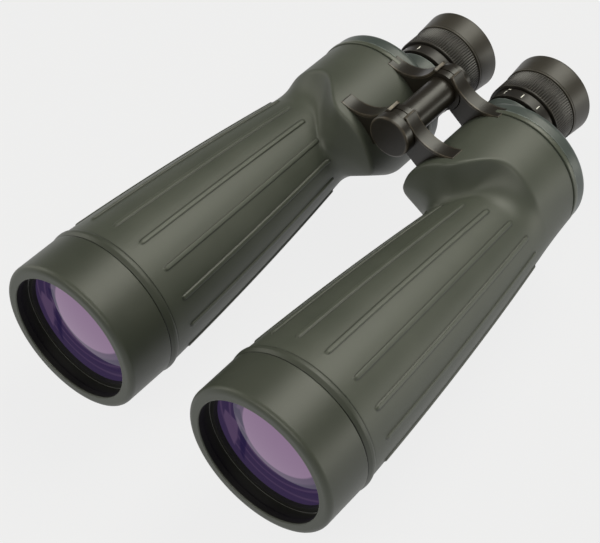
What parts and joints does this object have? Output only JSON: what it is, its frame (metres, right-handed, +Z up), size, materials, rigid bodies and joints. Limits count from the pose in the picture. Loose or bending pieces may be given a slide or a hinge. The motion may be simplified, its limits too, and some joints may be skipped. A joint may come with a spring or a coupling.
{
  "type": "binoculars",
  "caption": "Porro-prism binoculars with ribbed tapering barrels, a folding hinge, a focus ring on each eyepiece and a capped tripod socket.",
  "frame": {"origin": "middle of the bounding box in X and Y, at the lowest point of the objective ends", "axes": "+X towards the user's left barrel, +Y from the objectives to the eyepieces, +Z up through the hinge"},
  "size_m": [0.2126, 0.3022, 0.0998],
  "materials": {
    "armour_rubber": "matte moulded",
    "eyecup_rubber": "matte moulded",
    "cover_paint": "satin",
    "hinge_paint": "satin, worn edges",
    "ring_paint": "satin knurled",
    "casting_alloy": "cast",
    "black_alloy": "black anodised",
    "coated_glass": "violet coating",
    "clear_glass": "polished",
    "spring_steel": "turned",
    "brass_washer": "turned"
  },
  "bodies": {
    "left_barrel": {"left_armour": "armour_rubber", "left_hood": "armour_rubber", "left_bead_ring": "armour_rubber", "left_rear_cover": "cover_paint", "left_body_casting": "casting_alloy", "left_objective_cell": "black_alloy", "left_lens_retainer": "black_alloy", "left_lens_spacer": "black_alloy", "left_baffle_ring": "black_alloy", "left_prism_shelf": "casting_alloy", "left_focus_sleeve": "black_alloy", "left_front_arm": "hinge_paint", "left_rear_arm": "hinge_paint", "left_crown_lens": "coated_glass", "left_flint_lens": "clear_glass", "left_front_prism": "clear_glass", "left_rear_prism": "clear_glass", "left_prism_clips": "spring_steel", "left_cover_screws": "spring_steel", "left_arm_screws": "spring_steel", "hinge_shaft": "spring_steel", "hinge_sleeve": "hinge_paint", "hinge_washers": "brass_washer", "rear_cap": "hinge_paint"},
    "right_barrel": {"right_armour": "armour_rubber", "right_hood": "armour_rubber", "right_bead_ring": "armour_rubber", "right_rear_cover": "cover_paint", "right_body_casting": "casting_alloy", "right_objective_cell": "black_alloy", "right_lens_retainer": "black_alloy", "right_lens_spacer": "black_alloy", "right_baffle_ring": "black_alloy", "right_prism_shelf": "casting_alloy", "right_focus_sleeve": "black_alloy", "right_front_arm": "hinge_paint", "right_rear_arm": "hinge_paint", "right_crown_lens": "coated_glass", "right_flint_lens": "clear_glass", "right_front_prism": "clear_glass", "right_rear_prism": "clear_glass", "right_prism_clips": "spring_steel", "right_cover_screws": "spring_steel", "right_arm_screws": "spring_steel"},
    "tripod_cap": {"front_cap": "hinge_paint"},
    "left_ocular": {"left_lens_cell": "black_alloy", "left_field_lens": "clear_glass", "left_eye_lens": "coated_glass"},
    "left_focus": {"left_focus_ring": "ring_paint", "left_scale_band": "ring_paint", "left_snap_ring": "spring_steel", "left_eyecup": "eyecup_rubber"},
    "right_ocular": {"right_lens_cell": "black_alloy", "right_field_lens": "clear_glass", "right_eye_lens": "coated_glass"},
    "right_focus": {"right_focus_ring": "ring_paint", "right_scale_band": "ring_paint", "right_snap_ring": "spring_steel", "right_eyecup": "eyecup_rubber"}
  },
  "joints": [
    {"name": "eye_spacing_hinge", "type": "hinge", "parent": "left_barrel", "child": "right_barrel", "pos_m": [0, 0.06565, 0.0873], "axis": [0, 1, 0], "range_deg": [-14.8, 22.4]},
    {"name": "left_cell_slide", "type": "slide", "parent": "left_barrel", "child": "left_ocular", "axis": [0, 1, 0], "range_m": [-0.00175, 0.00175]},
    {"name": "left_focus_turn", "type": "hinge", "parent": "left_ocular", "child": "left_focus", "pos_m": [0.032, 0.1276, 0.0583], "axis": [0, 1, 0], "range_deg": [-112, 112]},
    {"name": "right_cell_slide", "type": "slide", "parent": "right_barrel", "child": "right_ocular", "axis": [0, 1, 0], "range_m": [-0.00175, 0.00175]},
    {"name": "right_focus_turn", "type": "hinge", "parent": "right_ocular", "child": "right_focus", "pos_m": [-0.032, 0.1276, 0.0583], "axis": [0, 1, 0], "range_deg": [-112, 112]},
    {"name": "cap_slide", "type": "slide", "parent": "left_barrel", "child": "tripod_cap", "axis": [0, -1, 0], "range_m": [0, 0.03]}
  ],
  "couplings": [
    {"joint": "left_cell_slide", "follows": "left_focus_turn", "m_per_rad": 0.000894},
    {"joint": "right_cell_slide", "follows": "right_focus_turn", "m_per_rad": 0.000894}
  ]
}
